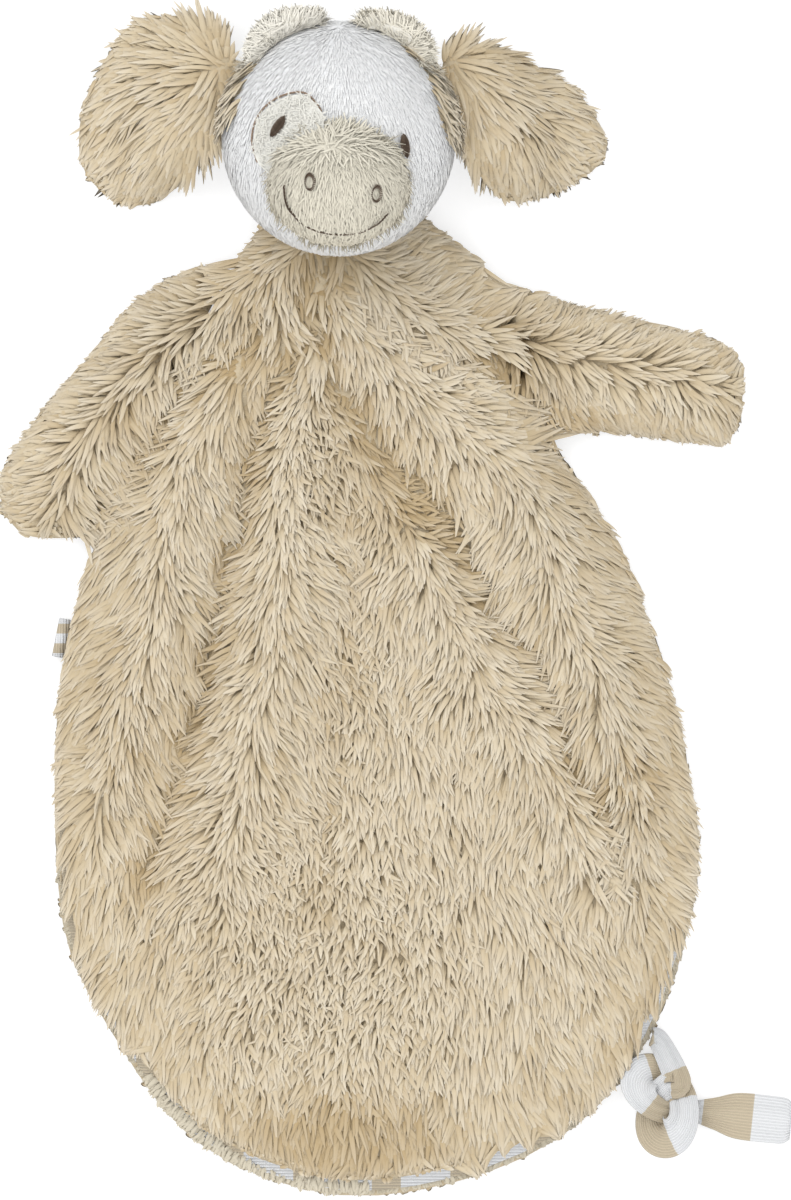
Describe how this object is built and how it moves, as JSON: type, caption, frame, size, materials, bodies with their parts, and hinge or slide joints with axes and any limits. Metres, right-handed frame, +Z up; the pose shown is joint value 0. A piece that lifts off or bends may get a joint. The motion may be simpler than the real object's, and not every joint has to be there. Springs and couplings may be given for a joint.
{
  "type": "comfort blanket",
  "caption": "Plush comfort blanket lying on its back: flat lined blanket body with a stuffed animal head, floppy ears and arms, small horns and a knotted jersey tie.",
  "frame": {"origin": "on the back face of the blanket, at the middle of the blanket's width and length", "axes": "+Z up out of the front, +Y towards the head, +X to the viewer's right"},
  "size_m": [0.2221, 0.3318, 0.0604],
  "materials": {
    "beige_plush": "long shaggy pile, soft sheen",
    "white_plush": "short dense pile",
    "cream_plush": "short dense pile",
    "stone_plush": "short ribbed pile",
    "striped_jersey": "fine ribbed knit, beige and white stripes",
    "brown_thread": "embroidery thread",
    "wadding": "polyester fibre"
  },
  "bodies": {
    "blanket": {"back_panel": "beige_plush", "back_lining": "striped_jersey", "front_lining": "striped_jersey", "front_panel": "beige_plush", "side_loop": "striped_jersey"},
    "head": {"head_cover": "white_plush", "head_filling": "wadding", "muzzle_cover": "stone_plush", "muzzle_filling": "wadding", "eye_patch": "cream_plush", "patch_outline": "brown_thread", "eye_left": "brown_thread", "eye_right": "brown_thread", "nostril_left": "brown_thread", "nostril_right": "brown_thread", "mouth_line": "brown_thread", "horn_left": "cream_plush", "horn_left_filling": "wadding", "horn_right": "cream_plush", "horn_right_filling": "wadding"},
    "ear_left": {"ear_left_back": "beige_plush", "ear_left_front": "beige_plush"},
    "ear_right": {"ear_right_back": "beige_plush", "ear_right_front": "beige_plush"},
    "arm_left": {"arm_left_back": "beige_plush", "arm_left_front": "beige_plush"},
    "arm_right": {"arm_right_back": "beige_plush", "arm_right_front": "beige_plush"},
    "tie": {"jersey_tie": "striped_jersey"}
  },
  "joints": [
    {"name": "head_nod", "type": "hinge", "parent": "blanket", "child": "head", "pos_m": [-0.0108, 0.1325, 0.016], "axis": [1, 0, 0], "range_deg": [0, 60]},
    {"name": "ear_left_flap", "type": "hinge", "parent": "head", "child": "ear_left", "pos_m": [-0.04205, 0.17438, 0.02095], "axis": [0.3584, 0.9336, 0], "range_deg": [-45, 75]},
    {"name": "ear_right_flap", "type": "hinge", "parent": "head", "child": "ear_right", "pos_m": [0.02059, 0.17406, 0.02095], "axis": [0.309, -0.9511, 0], "range_deg": [-45, 75]},
    {"name": "arm_left_lift", "type": "hinge", "parent": "blanket", "child": "arm_left", "pos_m": [-0.05769, 0.09496, 0.00095], "axis": [0.4592, 0.8883, 0], "range_deg": [-60, 60]},
    {"name": "arm_right_lift", "type": "hinge", "parent": "blanket", "child": "arm_right", "pos_m": [0.03865, 0.10534, 0.00095], "axis": [0.3188, -0.9478, 0], "range_deg": [-60, 60]},
    {"name": "tie_swing", "type": "hinge", "parent": "blanket", "child": "tie", "pos_m": [0.07649, -0.08835, 0.0024], "axis": [-0.4799, -0.8773, 0], "range_deg": [-45, 45]}
  ]
}
